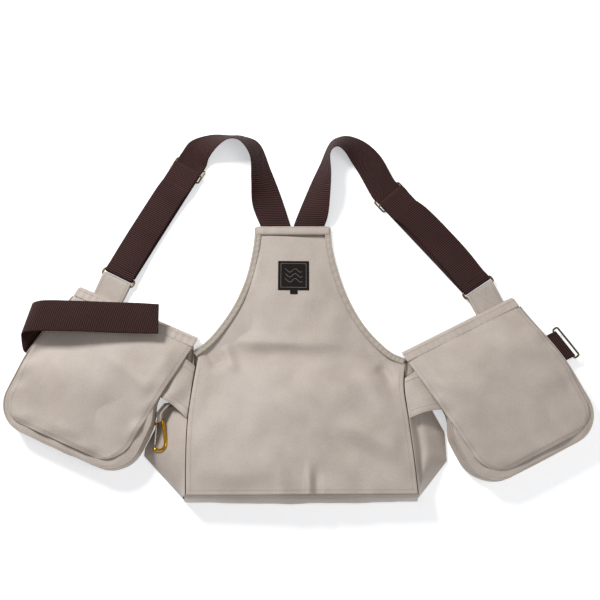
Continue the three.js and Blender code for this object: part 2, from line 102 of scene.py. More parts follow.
SEAM = {
    "left": [(-170, -101, 8), (-176, -150, 20), (-181, -206, 31), (-181, -270, 40), (-179, -325, BAG_DEPTH)],
    "right": [(175, -112, 9), (170, -150, 20), (175, -206, 31), (181, -270, 40), (185, -323, BAG_DEPTH)],
}
GUSSET_TOP = {"left": (-221, -186), "right": (216, -186)}
HIP = {"left": (-252, -250), "right": (236, -224)}
HIP_LOW = {"left": (-253, -262), "right": (238, -270)}
FOOT = {"left": (-186, -332), "right": (189, -330)}
CONNECTOR_TOP = {"left": 0.16, "right": 0.33}

PANEL_CREASES = [
    ((-125, -72), (85, -80), 12, 4.5), ((-130, -96), (60, -106), 17, -4.2),
    ((-126, -75), (-108, -128), 10, 4.0), ((-158, -88), (-132, -116), 11, -7.0),
    ((128, -114), (158, -148), 12, -7.5), ((92, -100), (150, -205), 17, 4.5),
    ((60, -205), (172, -258), 18, 5.5), ((40, -232), (150, -292), 19, -5.0),
    ((-60, -150), (40, -232), 28, 2.8),
]
FOOT_WAVES = [(14, 6, 4.5), (27, 7, -3.6), (-30, 12, 2.6), (95, 16, -2.4)]  # place, width, height
FLAP_CREASES = {
    "left": [((215, 110), (90, 205), 20, 4.0), ((120, 80), (14, 110), 13, 3.0)],
    "right": [((14, 60), (90, 120), 15, 3.5), ((150, 30), (205, 175), 16, 4.0)],
}

FINE = 2
RIM = 0.45  # how far a sheet's rounded edge stands out, as a share of its thickness


# ---------------------------------------------------------------- small maths
def vec(*xyz):
    return np.array(xyz, dtype=float)


def unit(v):
    return v / np.linalg.norm(v)


def perpendicular(v):
    return vec(-v[1], v[0], 0)


def mix(a, b, t):
    return a + (b - a) * t


def smooth(t):
    s = np.clip(t, 0, 1)
    return s * s * (3 - 2 * s)


def arch(t):
    """Rises from 0 to 1 half way and comes back to 0."""
    return np.maximum(0, np.sin(np.pi * t))


def units(rows):
    """Every row of an array at length 1."""
    return rows / np.maximum(np.linalg.norm(rows, axis=-1, keepdims=True), 1e-9)


def bump(t, centre, width):
    return np.exp(-(((t - centre) / width) ** 2))


class Spline:
    """A Catmull-Rom curve through points, centripetal unless uniform, with t from 0 to 1."""

    def __init__(self, points, uniform=False):
        self.p = np.array(points, dtype=float)
        self.uniform = uniform

    def __call__(self, t):
        p = self.p
        n = len(p) - 1
        t = np.clip(np.asarray(t, dtype=float), 0, 1)
        k = np.minimum((t * n).astype(int), n - 1)
        w = (t * n - k)[..., None]
        ext = np.vstack([2 * p[0] - p[1], p, 2 * p[-1] - p[-2]])
        a, b, c, d = ext[k], ext[k + 1], ext[k + 2], ext[k + 3]
        if self.uniform:
            m1, m2 = (c - a) / 2, (d - b) / 2
        else:
            d0, d1, d2 = [np.maximum(np.linalg.norm(y - x, axis=-1), 1e-6)[..., None] ** 0.5
                          for x, y in ((a, b), (b, c), (c, d))]
            m1 = ((b - a) / d0 - (c - a) / (d0 + d1) + (c - b) / d1) * d1
            m2 = ((c - b) / d1 - (d - b) / (d1 + d2) + (d - c) / d2) * d1
        w2, w3 = w * w, w * w * w
        return (2 * w3 - 3 * w2 + 1) * b + (w3 - 2 * w2 + w) * m1 + (-2 * w3 + 3 * w2) * c + (w3 - w2) * m2


def wrinkle(x, y, length, seed, count=7):
    """A smooth random height near -1 to 1 over x and y, with waves about length long."""
    rng = np.random.default_rng(seed)
    total = 0
    for _ in range(count):
        angle, phase = rng.uniform(0, 2 * math.pi, 2)
        k = 2 * math.pi / (length * rng.uniform(0.7, 1.5))
        total = total + np.sin(k * (x * math.cos(angle) + y * math.sin(angle)) + phase)
    return total / math.sqrt(count)


def crease(x, y, start, end, width, height):
    """A ridge along a line, or a furrow where height is below 0, fading towards its ends."""
    a, b = np.array(start, float), np.array(end, float)
    along = b - a
    length = np.linalg.norm(along)
    along = along / length
    s = ((x - a[0]) * along[0] + (y - a[1]) * along[1]) / length
    off = (x - a[0]) * -along[1] + (y - a[1]) * along[0]
    return height * np.exp(-((off / width) ** 2)) * np.exp(-(((s - 0.5) / 0.42) ** 4))


def creases(x, y, rows):
    return sum(crease(x, y, *row) for row in rows)


# ---------------------------------------------------------------- meshes
def in_scene(name, data):
    item = bpy.data.objects.new(name, data)
    bpy.context.scene.collection.objects.link(item)
    return item


def make_object(name, verts, faces, uvs=None, material=None, sharp=math.radians(50)):
    mesh = bpy.data.meshes.new(name)
    mesh.from_pydata([tuple(v) for v in (np.asarray(verts) + SHIFT) * MM], [], [tuple(f) for f in faces])
    if uvs is not None:
        layer = mesh.uv_layers.new(name="metres")
        loops = np.empty(len(mesh.loops), dtype=np.int32)
        mesh.loops.foreach_get("vertex_index", loops)
        layer.data.foreach_set("uv", (np.asarray(uvs)[loops] * MM).astype(np.float32).ravel())
    mesh.shade_smooth()
    mesh.set_sharp_from_angle(angle=sharp)
    mesh.validate()
    if material:
        mesh.materials.append(material)
    return in_scene(name, mesh)


def normals_of(grid):
    du = np.gradient(grid, axis=0)
    dv = np.gradient(grid, axis=1)
    return units(np.cross(du, dv))


def sheet(name, surface, nu, nv, material, thick=CLOTH):
    """A closed sheet with a rounded rim, from surface(u, v), which gives points for arrays u and v."""
    u, v = np.meshgrid(np.linspace(0, 1, nu * FINE + 1), np.linspace(0, 1, nv * FINE + 1), indexing="ij")
    grid = surface(u, v)
    n = normals_of(grid)
    rows, cols = u.shape
    count = rows * cols
    step_u = np.linalg.norm(np.diff(grid, axis=0), axis=-1)
    step_v = np.linalg.norm(np.diff(grid, axis=1), axis=-1)
    long_u = np.vstack([np.zeros((1, cols)), np.cumsum(step_u, axis=0)])
    long_v = np.hstack([np.zeros((rows, 1)), np.cumsum(step_v, axis=1)])
    uv = np.stack([long_u, long_v], axis=-1).reshape(-1, 2)
    top = (grid + n * thick / 2).reshape(-1, 3)
    low = (grid - n * thick / 2).reshape(-1, 3)
    at = lambda i, j: i * cols + j
    i, j = np.meshgrid(np.arange(rows - 1), np.arange(cols - 1), indexing="ij")
    a, b, c, d = (at(i, j).ravel(), at(i + 1, j).ravel(), at(i + 1, j + 1).ravel(), at(i, j + 1).ravel())
    faces = list(zip(a, b, c, d)) + list(zip(d + count, c + count, b + count, a + count))
    ring = [at(k, 0) for k in range(rows - 1)] + [at(rows - 1, k) for k in range(cols - 1)]
    ring += [at(k, cols - 1) for k in range(rows - 1, 0, -1)] + [at(0, k) for k in range(cols - 1, 0, -1)]
    flat, normals = grid.reshape(-1, 3), n.reshape(-1, 3)
    base, rim = 2 * count, []
    for m, k in enumerate(ring):
        m2 = (m + 1) % len(ring)
        k2 = ring[m2]
        out = np.cross(flat[k2] - flat[ring[m - 1]], normals[k])
        size = np.linalg.norm(out)
        rim.append(flat[k] + (out / size if size > 1e-9 else 0) * thick * RIM)
        faces.append((k2, k, base + m, base + m2))
        faces.append((base + m2, base + m, k + count, k2 + count))
    verts = np.vstack([top, low, np.array(rim)])
    return make_object(name, verts, faces, np.vstack([uv, uv, uv[ring]]), material)


def tube(name, points, radius, material, closed=False, sides=14, flat=1.0, per=6):
    """A round or flattened wire along a smooth line through points."""
    p = np.array(points, dtype=float)
    if closed:
        t = np.linspace(0, 1, len(p) * per * FINE, endpoint=False)
        loop = np.vstack([p[-2:], p, p[:3]])
        path = Spline(loop)((t * len(p) + 2) / (len(loop) - 1))
    else:
        path = Spline(p)(np.linspace(0, 1, (len(p) - 1) * per * FINE + 1))
    tangent = np.roll(path, -1, 0) - np.roll(path, 1, 0) if closed else np.gradient(path, axis=0)
    tangent = units(tangent)
    up = np.cross(path[len(path) // 3] - path[0], path[2 * len(path) // 3] - path[0])
    up = unit(up) if np.linalg.norm(up) > 1e-3 else unit(np.cross(tangent[0], vec(0.3, 0.2, 0.9)))
    side = units(np.cross(tangent, up))
    lift = np.cross(side, tangent)
    radii = np.full(len(path), radius) if np.isscalar(radius) else np.interp(
        np.linspace(0, 1, len(path)), np.linspace(0, 1, len(radius)), radius)
    angle = np.linspace(0, 2 * math.pi, sides, endpoint=False)
    rings = (path[:, None] + radii[:, None, None] * (np.cos(angle)[None, :, None] * side[:, None]
             + flat * np.sin(angle)[None, :, None] * lift[:, None]))
    n = len(path)
    faces = []
    for i in range(n if closed else n - 1):
        for j in range(sides):
            a, b = i * sides + j, ((i + 1) % n) * sides + j
            c, d = ((i + 1) % n) * sides + (j + 1) % sides, i * sides + (j + 1) % sides
            faces.append((a, b, c, d))
    if not closed:
        faces += [tuple(range(sides)), tuple(range(n * sides - 1, (n - 1) * sides - 1, -1))]
    return make_object(name, rings.reshape(-1, 3), faces, None, material, math.radians(60))


def stitches(name, lines, material, pitch=3.6, length=2.6, radius=0.38, lift=0.2):
    """Rows of thread along lines; each line is (points, normals)."""
    verts, faces = [], []
    for points, normals in lines:
        points, normals = np.asarray(points, float), np.asarray(normals, float)
        steps = np.linalg.norm(np.diff(points, axis=0), axis=1)
        s = np.concatenate([[0], np.cumsum(steps)])
        count = int(s[-1] / pitch)
        if count < 1:
            continue
        middles = (np.arange(count) + 0.5) * s[-1] / count
        where = lambda q, field: np.stack([np.interp(q, s, field[:, k]) for k in range(3)], axis=-1)
        centre, n = where(middles, points), where(middles, normals)
        a, b = where(middles - length / 2, points), where(middles + length / 2, points)
        n, along = units(n), units(b - a)
        side = np.cross(along, n)
        for c, q, w, m in zip(centre, along, side, n):
            base = len(verts)
            c = c + m * lift
            verts.append(c - q * length / 2 - m * radius * 1.4)
            for f in (-0.25, 0.25):
                for dx, dz in ((-1, 0), (0, 1), (1, 0), (0, -1)):
                    verts.append(c + q * length * f + (w * dx + m * dz) * radius)
            verts.append(c + q * length / 2 - m * radius * 1.4)
            for k in range(4):
                k2 = (k + 1) % 4
                faces.append((base, base + 1 + k2, base + 1 + k))
                faces.append((base + 1 + k, base + 1 + k2, base + 5 + k2, base + 5 + k))
                faces.append((base + 9, base + 5 + k, base + 5 + k2))
    return make_object(name, verts, faces, None, material, math.radians(80))


# ---------------------------------------------------------------- materials
def nodes_of(name):
    material = bpy.data.materials.new(name)
    material.use_nodes = True
    tree = material.node_tree
    return material, tree, tree.nodes["Principled BSDF"]


def new_node(tree, kind, source, values):
    """A node fed with source at its Vector input, and with fixed values at others."""
    node = tree.nodes.new(kind)
    for key, value in values.items():
        node.inputs[key].default_value = value
    tree.links.new(source, node.inputs["Vector"])
    return node


def bands(tree, source, axis, pitch):
    """Even stripes across axis, pitch metres apart."""
    wave = new_node(tree, "ShaderNodeTexWave", source, {"Scale": math.pi / 10 / pitch})
    wave.wave_type, wave.bands_direction, wave.wave_profile = "BANDS", axis, "SIN"
    return wave.outputs["Fac"]


def noise(tree, source, scale, detail):
    return new_node(tree, "ShaderNodeTexNoise", source, {"Scale": scale, "Detail": detail}).outputs["Fac"]


def arithmetic(tree, operation, a, b):
    node = tree.nodes.new("ShaderNodeMath")
    node.operation = operation
    for socket, value in zip(node.inputs, (a, b)):
        if isinstance(value, (int, float)):
            socket.default_value = value
        else:
            tree.links.new(value, socket)
    return node.outputs["Value"]


def weighted(tree, a, share_a, b, share_b):
    """The sum of two values, each times its share."""
    parts = [arithmetic(tree, "MULTIPLY", *pair) for pair in ((a, share_a), (b, share_b))]
    return arithmetic(tree, "ADD", *parts)


def colour_ramp(tree, factor, dark, light):
    ramp = tree.nodes.new("ShaderNodeValToRGB")
    for stop, position, colour in zip(ramp.color_ramp.elements, (0.3, 0.7), (dark, light)):
        stop.position = position
        stop.color = (*colour, 1)
    tree.links.new(factor, ramp.inputs["Fac"])
    return ramp.outputs["Color"]


def surface_finish(tree, shader, wear, spread, roughness, height, strength, distance):
    """Roughness that varies by spread with wear, and a fine relief of the given height in metres."""
    worn = arithmetic(tree, "ADD", arithmetic(tree, "MULTIPLY", wear, spread), roughness - spread / 2)
    tree.links.new(worn, shader.inputs["Roughness"])
    relief = tree.nodes.new("ShaderNodeBump")
    relief.inputs["Strength"].default_value = strength
    relief.inputs["Distance"].default_value = distance
    tree.links.new(height, relief.inputs["Height"])
    tree.links.new(relief.outputs["Normal"], shader.inputs["Normal"])


def cloth(name, dark, light, weave, roughness, sheen, bump_height, ribs=None, specular=0.35):
    """Woven cloth: weave is the thread pitch in metres, ribs the pitch of raised bars across a webbing, whose
    tops are also painted lighter as a highlight.
    """
    material, tree, shader = nodes_of(name)
    uv = tree.nodes.new("ShaderNodeUVMap").outputs["UV"]
    place = tree.nodes.new("ShaderNodeTexCoord").outputs["Object"]
    threads = arithmetic(tree, "MULTIPLY", bands(tree, uv, "X", weave), bands(tree, uv, "Y", weave))
    mottle, grain = noise(tree, place, 28.0, 4.0), noise(tree, uv, 480.0, 3.0)
    blended = weighted(tree, mottle, 0.45, grain, 0.55)
    height = weighted(tree, threads, 1.0, grain, 0.7)
    if ribs:
        bars = bands(tree, uv, "X", ribs)
        height = weighted(tree, bars, 1.0, height, 0.25)
        # the rib bars also lighten the colour: a painted highlight on the rib tops, besides their bump
        blended = weighted(tree, blended, 0.45, bars, 0.5)
    tree.links.new(colour_ramp(tree, blended, dark, light), shader.inputs["Base Color"])
    shader.inputs["Specular IOR Level"].default_value = specular
    shader.inputs["Sheen Weight"].default_value = sheen
    shader.inputs["Sheen Roughness"].default_value = 0.5
    surface_finish(tree, shader, mottle, 0.16, roughness, height, 1.0, bump_height)
    return material


def metal(name, dark, light, roughness):
    material, tree, shader = nodes_of(name)
    place = tree.nodes.new("ShaderNodeTexCoord").outputs["Object"]
    patina, scratches = noise(tree, place, 260.0, 5.0), noise(tree, place, 2400.0, 2.0)
    tree.links.new(colour_ramp(tree, patina, dark, light), shader.inputs["Base Color"])
    shader.inputs["Metallic"].default_value = 1.0
    surface_finish(tree, shader, patina, 0.22, roughness, scratches, 0.35, 0.00012)
    return material


FABRIC = cloth("fabric", (0.385, 0.325, 0.282), (0.525, 0.455, 0.402), 0.0007, 0.46, 0.1, 0.0001,
               specular=0.5)
LINING = cloth("lining", (0.36, 0.30, 0.245), (0.42, 0.355, 0.295), 0.0007, 0.7, 0.1, 0.00006)
TAPE = cloth("binding tape", (0.38, 0.325, 0.275), (0.47, 0.41, 0.35), 0.0011, 0.72, 0.15, 0.00009)
# the light end of the webbing's colour ramp is partly a painted highlight on the rib tops
WEBBING = cloth("webbing", (0.012, 0.004, 0.0038), (0.068, 0.030, 0.027), 0.0011, 0.7, 0.0, 0.0005,
                ribs=0.0034, specular=0.14)
LABEL_CLOTH = cloth("label", (0.008, 0.006, 0.005), (0.017, 0.013, 0.011), 0.0005, 0.85, 0.0, 0.00004,
                    specular=0.12)
# the thread is darker than the cloth partly for its own tone and partly as painted shade of the stitch
# grooves
THREAD = cloth("thread", (0.22, 0.18, 0.15), (0.34, 0.29, 0.25), 0.0004, 0.6, 0.1, 0.00002)
DARK_THREAD = cloth("dark thread", (0.022, 0.011, 0.011), (0.05, 0.028, 0.027), 0.0004, 0.6, 0.1, 0.00002)
GREY_THREAD = cloth("grey thread", (0.24, 0.24, 0.235), (0.42, 0.42, 0.41), 0.0004, 0.6, 0.1, 0.00002)
BRASS = metal("antique brass", (0.115, 0.088, 0.045), (0.25, 0.20, 0.105), 0.36)
GOLD = metal("gold anodised", (0.60, 0.30, 0.012), (0.78, 0.43, 0.03), 0.26)
STEEL = metal("steel", (0.42, 0.42, 0.41), (0.60, 0.59, 0.57), 0.28)


# ---------------------------------------------------------------- floor, light and camera
FLOOR_REACH = 40.0
FLOOR_GLOW = 0.45
WORLD_LIGHT = 0.30
LIGHTS = {"main light": ((-1.1, 1.2, 1.35), 0.6, 43.0), "fill light": ((1.2, -0.6, 2.0), 1.6, 13.0)}
CAMERA = dict(lens=52.92, sensor=36.0, elevation=76.0, distance=1.5)


def aim(item, place, target):
    item.location = place
    item.rotation_euler = (target - Vector(place)).to_track_quat("-Z", "Y").to_euler()


def make_floor():
    mesh = bpy.data.meshes.new("floor")
    mesh.from_pydata([(FLOOR_REACH * a, FLOOR_REACH * b, 0) for a, b in ((-1, -1), (1, -1), (1, 1), (-1, 1))],
                     [], [(0, 1, 2, 3)])
    material, _, shader = nodes_of("floor")
    shader.inputs["Base Color"].default_value = (0.9, 0.9, 0.9, 1)
    shader.inputs["Roughness"].default_value = 0.85
    shader.inputs["Emission Color"].default_value = (0.95, 0.97, 1.0, 1)
    shader.inputs["Emission Strength"].default_value = FLOOR_GLOW
    mesh.materials.append(material)
    in_scene("floor", mesh)


def make_lights():
    world = bpy.data.worlds.new("studio")
    world.use_nodes = True
    background = world.node_tree.nodes["Background"]
    background.inputs["Color"].default_value = (1, 1, 1, 1)
    background.inputs["Strength"].default_value = WORLD_LIGHT
    bpy.context.scene.world = world
    for name, (place, size, power) in LIGHTS.items():
        light = bpy.data.lights.new(name, "AREA")
        light.shape, light.size, light.energy = "DISK", size, power
        lamp = in_scene(name, light)
        aim(lamp, place, Vector((0, 0, 0)))


def make_camera():
    camera = bpy.data.cameras.new("camera")
    camera.lens, camera.sensor_width = CAMERA["lens"], CAMERA["sensor"]
    holder = in_scene("camera", camera)
    target, elevation = Vector(SHIFT * MM), math.radians(CAMERA["elevation"])
    away = Vector((0, -math.cos(elevation), math.sin(elevation))) * CAMERA["distance"]
    aim(holder, target + away, target)
    bpy.context.scene.camera = holder
    bpy.context.scene.view_settings.view_transform = "Standard"


make_floor()
make_lights()
make_camera()


# ---------------------------------------------------------------- back and game bag
def edge(side, w):
    armhole, seam = Spline(ARMHOLE[side]), Spline(SEAM[side])
    return np.where((w < 0.5)[..., None], armhole(w / 0.5), seam((w - 0.5) / 0.5))


def finish_piece(piece, body, *nodes, slot="fabric"):
    if nodes:
        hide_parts(*nodes)
    if body:
        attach(piece, body)
    return piece


def piece_of(name, surface, cells, material, body, *nodes, thick=CLOTH, slot="fabric"):
    """A sheet along surface, as a piece of body that stands for nodes."""
    return finish_piece(sheet(name, surface, *cells, material, thick), body, *nodes, slot=slot)


def sewn(name, rows, body, thread=THREAD, slot="fabric"):
    return finish_piece(stitches(name, rows, thread), body, slot=slot)


def webbing(name, surface, cells, body, *nodes):
    return piece_of(name, surface, cells, WEBBING, body, *nodes, thick=WEB_T, slot="webbing")


def outer_panel(u, v):
    w = mix(0.04, 1, v)
    p = mix(edge("left", w), edge("right", w), mix(0.003, 0.997, u)[..., None])
    p[..., 2] += 6 * arch(u) ** 1.6 * smooth(w * 1.6) + 0.3
    x, y = p[..., 0], p[..., 1]
    inside = smooth(np.minimum(u, 1 - u) * 11) * smooth((1 - v) * 12) * smooth(v * 5)
    relief = 2.4 * wrinkle(x, y, 210, 3) + 0.7 * wrinkle(x, y, 75, 9) + creases(x, y, PANEL_CREASES)
    waves = sum(height * bump(x, middle, width) for middle, width, height in FOOT_WAVES)
    p[..., 2] += relief * inside + smooth((v - 0.86) / 0.1) * waves
    p[..., 2] = np.maximum(p[..., 2], ABOVE_LINING)
    return p


def bottom_gusset(u, v):
    outer = mix(vec(-180.5, -325.4, BAG_DEPTH - 0.9), vec(186, -323.8, BAG_DEPTH - 0.9), u[..., None])
    inner = mix(vec(-185, -333, 2.9), vec(188, -331.4, 2.9), u[..., None])
    p = mix(outer, inner, v[..., None])
    swell = arch(v) * np.sqrt(arch(u))
    p[..., 1] -= 2.4 * smooth(v * 6) + 6 * swell + 1.4 * wrinkle(p[..., 0], p[..., 2], 60, 5) * swell
    return p


def side_gusset(side):
    sign = -1 if side == "left" else 1
    upper = Spline([(x + sign * 1.2, y, z - 0.6) for x, y, z in SEAM[side][1:]])
    corners = [vec(*group[side], 3.0) for group in (GUSSET_TOP, HIP, HIP_LOW, FOOT)]
    corners[3] = corners[3] + vec(sign * 3, 4, 0)
    breaks = [0, 0.42, 0.5, 1]

    def surface(u, v):
        floor = np.stack([np.interp(u, breaks, [c[k] for c in corners]) for k in range(3)], axis=-1)
        p = mix(upper(mix(0.14, 0.995, u)), floor, v[..., None])
        inside = arch(v) * np.sqrt(arch(u))
        p[..., 2] += 2.5 * arch(v) * (1 - u)
        p[..., 2] += 1.8 * wrinkle(p[..., 0], p[..., 1], 90, 11 + sign) * inside
        if side == "right":
            p[..., 2] -= 7 * bump(v, 0.22, 0.14) * smooth(u * 3) * smooth((1 - u) * 5)
        return p

    return surface


def binding_frame(side, w):
    sign = -1 if side == "left" else 1
    path = Spline(ARMHOLE[side])
    along = path(np.minimum(w + 0.004, 1)) - path(np.maximum(w - 0.004, 0))
    out = np.stack([along[..., 1], -along[..., 0], np.zeros_like(w)], axis=-1)
    out = units(out)
    out *= np.where(out[..., :1] * sign < 0, -1, 1)
    return path(w), out


def binding(side):
    def surface(u, v):
        w = mix(0.004, 0.99, u)
        p, out = binding_frame(side, w)
        face = np.minimum(1, v / 0.55)
        wall = np.clip((v - 0.55) / 0.45, 0, 1)
        pucker = 0.35 * np.sin(w * 150) * np.sin(np.pi * face)
        height = p[..., 2] + 2.2 + 2 * smooth(u * 2.5 - 1.5) + pucker
        roll = np.sqrt(np.maximum(0, 1 - wall ** 2.4))
        p = p + out * (mix(1.4 - BINDING, 1.6, face) + 1.2 * np.sin(np.pi * wall))[..., None]
        p[..., 2] = np.where(v < 0.55, height, mix(0.7, height, roll))
        return p

    return surface


def rows_between(surface, u0, v0, u1, v1, count=240):
    """A line on a surface between two (u, v) places, with its normals."""
    t = np.linspace(0, 1, count)
    u, v = mix(u0, u1, t), mix(v0, v1, t)
    step = 2e-3
    here = surface(u, v)
    du = surface(np.minimum(u + step, 1), v) - surface(np.maximum(u - step, 0), v)
    dv = surface(u, np.minimum(v + step, 1)) - surface(u, np.maximum(v - step, 0))
    n = units(np.cross(du, dv))
    if n[..., 2].mean() < 0:
        n = -n
    return here + n * CLOTH / 2, n


def inner_panel():
    outline = []
    for side in ("left", "right"):
        curve = [(x, y) for x, y, _ in Spline(ARMHOLE[side])(np.linspace(0, 1, 41))]
        run = curve + [HIP[side], HIP_LOW[side], FOOT[side]]
        outline += run if side == "left" else run[::-1]
    p = np.array(outline)
    n = len(p)
    centre = p.mean(axis=0)
    verts, uvs, faces = [], [], []
    for z, shrink in ((0.0, 0.2), (0.7, 0.0), (2.0, 0.3)):
        q = p + (centre - p) / np.linalg.norm(centre - p, axis=1)[:, None] * shrink
        verts += [(x, y, z) for x, y in q]
        uvs += list(q)
    for ring in range(2):
        for k in range(n):
            k2 = (k + 1) % n
            faces.append((ring * n + k2, ring * n + k, (ring + 1) * n + k, (ring + 1) * n + k2))
    faces.append(tuple(range(n)))
    faces.append(tuple(range(3 * n - 1, 2 * n - 1, -1)))
    return make_object("lining_panel", verts, faces, uvs, LINING, math.radians(30))


def hem_surface(u, v):
    x, y = mix(*NECK, u), mix(BACK_TOP + 1, BACK_TOP - HEM + 1, v)
    return np.stack([x, y, 6.6 + 0.7 * arch(v) + 0.25 * wrinkle(x, 0 * v, 16, 2)], axis=-1)


finish_piece(inner_panel(), "back", "back_inner_panel")
panel = piece_of("outer_panel", outer_panel, (80, 110), FABRIC, "back", "bag_outer_panel")
piece_of("bag_bottom", bottom_gusset, (90, 12), FABRIC, "back", "bag_bottom_gusset")
piece_of("top_hem", hem_surface, (50, 8), FABRIC, "back", "back_top_hem", thick=1.0)
thread_lines = [rows_between(hem_surface, 0.02, s, 0.98, s) for s in (0.14, 0.86)]
for side, seam_u in (("left", 0.01835), ("right", 0.98165)):
    piece_of(f"bag_side_{side}", side_gusset(side), (46, 24), FABRIC, "back", f"bag_side_gusset_{side}")
    edge_tape = binding(side)
    piece_of(f"binding_{side}", edge_tape, (150, 9), TAPE, "back", f"armhole_binding_{side}", thick=0.8)
    thread_lines += [rows_between(edge_tape, 0.01, s, 0.99, s, 500) for s in (0.07, 0.44)]
    thread_lines.append(rows_between(outer_panel, seam_u, 0.53, seam_u, 0.985, 300))
thread_lines.append(rows_between(outer_panel, 0.01, 0.985, 0.99, 0.985, 400))
sewn("back_stitching", thread_lines, "back")


# ---------------------------------------------------------------- side pockets
def axes_of(side):
    """A pocket's own axes: x outward along the flap's top edge, y down the pocket."""
    angle = math.radians(side["tilt"])
    out = vec(side["sign"] * math.cos(angle), math.sin(angle), 0)
    down = vec(side["sign"] * math.sin(angle), -math.cos(angle), 0)
    corner = vec(*side["corner"], 0)

    def at(x, y, z=0.0):
        x, y, z = np.broadcast_arrays(np.asarray(x, float), y, z)
        p = corner + x[..., None] * out + y[..., None] * down
        p[..., 2] = z
        return p

    return out, down, at


def front_z(y):
    return 11 + 26 * np.sin(np.minimum(1, np.maximum(0, y) / 160) * np.pi / 2)


def corner_inset(y, height, r):
    return r - np.sqrt(np.maximum(0, r * r - np.maximum(0, y - height + r) ** 2))


def inner_side(y):
    free = smooth((y - POCKET["joined"]) / (POCKET["free"] - POCKET["joined"]))
    return mix(POCKET["drawn_in"], POCKET["start"], free)


def outer_side(side, y):
    """The outer side spreads from the mouth down to the full width."""
    return mix(side["mouth_width"], side["full_width"], smooth(y / 150))


def pocket_span(side):
    def span(y):
        inset = corner_inset(y, POCKET["height"], POCKET["corner"])
        return inner_side(y) + inset, outer_side(side, y) - inset

    return span


def flap_span(side):
    def span(y):
        inset = corner_inset(y, FLAP["height"], FLAP["corner"])
        drawn = FLAP["inside"] + FLAP["short"] * smooth((y - 130) / 60)
        return 0.1 * y + inset, outer_side(side, y) - drawn - inset

    return span


def face(at, span, top, bottom, height):
    def surface(u, v):
        y = mix(top, bottom, np.sin(v * np.pi / 2))
        a, b = span(y)
        return at(mix(a, b, u), y, height(mix(a, b, u), y, u, v))

    return surface


def flap_height(name, seed):
    def height(x, y, u, v):
        rim = np.minimum(np.minimum(u, 1 - u) * 200, (1 - np.sin(v * np.pi / 2)) * 240)
        calm = smooth(rim / 26) * smooth(y / 30)
        relief = 2.6 * wrinkle(x, y, 170, seed) + 0.8 * wrinkle(x, y, 66, seed + 1)
        relief += creases(x, y, FLAP_CREASES[name])
        edge_waves = 1.3 * wrinkle(x, y, 48, seed + 2) * bump(rim, 0, 14) * smooth(y / 90)
        z = front_z(y) + FLAP["clear"] + 2.2 * arch(u) * smooth(y / 60) - 1.1 * bump(rim, 0, 4)
        return z + np.maximum(relief + 1.2, -0.9) * calm + edge_waves

    return height


def front_height(seed):
    def height(x, y, u, v):
        sides = 0.7 * (1 - smooth(np.minimum(u, 1 - u) * 20))
        dents = np.abs(0.8 * wrinkle(x, y, 80, seed)) * smooth((POCKET["height"] - y) / 12)
        return front_z(y) - sides - dents

    return height


def pocket_outline(side, count=300):
    """The pocket's inner side, bottom and outer side, from mouth to mouth, evenly spaced."""
    height, corner, end, start = POCKET["height"], POCKET["corner"], side["full_width"], POCKET["start"]
    y = np.linspace(POCKET["mouth"], height - corner, 60)
    turn = np.linspace(0, math.pi / 2, 20)[1:]
    inner = np.stack([inner_side(y), y], axis=-1)
    low = np.stack([start + corner - corner * np.cos(turn), height - corner + corner * np.sin(turn)], axis=-1)
    far = np.stack([end - corner + corner * np.sin(turn), height - corner + corner * np.cos(turn)], axis=-1)
    outer = np.stack([outer_side(side, y), y], axis=-1)[::-1]
    p = np.vstack([inner, low, [[end - corner, height]], far, outer[1:]])
    s = np.concatenate([[0], np.cumsum(np.linalg.norm(np.diff(p, axis=0), axis=1))])
    q = np.linspace(0, s[-1], count)
    return np.stack([np.interp(q, s, p[:, 0]), np.interp(q, s, p[:, 1])], axis=-1)


def outline_at(side, u):
    outline = pocket_outline(side)
    t = np.linspace(0, 1, len(outline))
    x, y = np.interp(u, t, outline[:, 0]), np.interp(u, t, outline[:, 1])
    middle = (POCKET["start"] + side["full_width"]) / 2
    away = np.stack([x - middle, np.maximum(0, y - POCKET["height"] + POCKET["corner"])], axis=-1)
    return x, y, units(away)


def pocket_wall(side, at):
    """The pocket's side; near the bag it hangs loose in folds, as far as side["loose"] says."""
    def surface(u, v):
        x, y, away = outline_at(side, u)
        z = mix(2.6, front_z(y) - 0.9, v)
        near_bag = smooth((60 - np.abs(y - 175)) / 60) * smooth((100 - x) / 60)
        loose = side["loose"] * near_bag * (arch(v) ** 0.6 + 0.2 * np.sin(6 * np.pi * v))
        folded = 2.0 * np.sin(2 * np.pi * v) * smooth((y - 60) / 90) + loose
        swell = (1.6 + 0.9 * wrinkle(u * 900, v * 60, 70, side["seed"])) * arch(v) + folded
        return at(x + away[..., 0] * swell, y + away[..., 1] * swell, z)

    return surface


def pocket_seam(side, at, layer):
    u = np.linspace(0, 1, 90)
    x, y, away = outline_at(side, u)
    z = front_z(y) - 0.4 if layer == "front" else np.full_like(y, 2.3)
    return at(x + away[:, 0] * 1.3, y + away[:, 1] * 1.3, z)


def connector(name, side, at):
    sign = side["sign"]
    seam = Spline([(x + sign * 1.6, y, z + 1.6) for x, y, z in SEAM[name][:3]])
    inner = POCKET["drawn_in"] - 2.5
    top, bottom = at(inner, 34, 16.5), at(inner, POCKET["joined"] - 4, 30)

    def surface(u, v):
        line = np.clip(mix(CONNECTOR_TOP[name], 0.98, v), 0, 1)
        p = mix(seam(line), mix(top, bottom, v[..., None]), u[..., None])
        hems = smooth((0.17 - v) * 60) + smooth((v - 0.83) * 60)
        inside = np.sqrt(arch(u))
        curl = 1.8 * smooth((v - 0.6) / 0.4) * arch(u)
        p[..., 2] += 3 * arch(u) + 0.55 * hems - curl
        p[..., 2] += 1.3 * wrinkle(p[..., 0], p[..., 1], 55, 17 + sign) * inside
        p[..., 1] += 3.5 * arch(u) * smooth((v - 0.7) / 0.3)
        return p

    return surface


def point(p, z=None):
    q = (np.asarray(p, float) + SHIFT) * MM
    return (float(q[0]), float(q[1]), float(q[2] if z is None else z * MM))


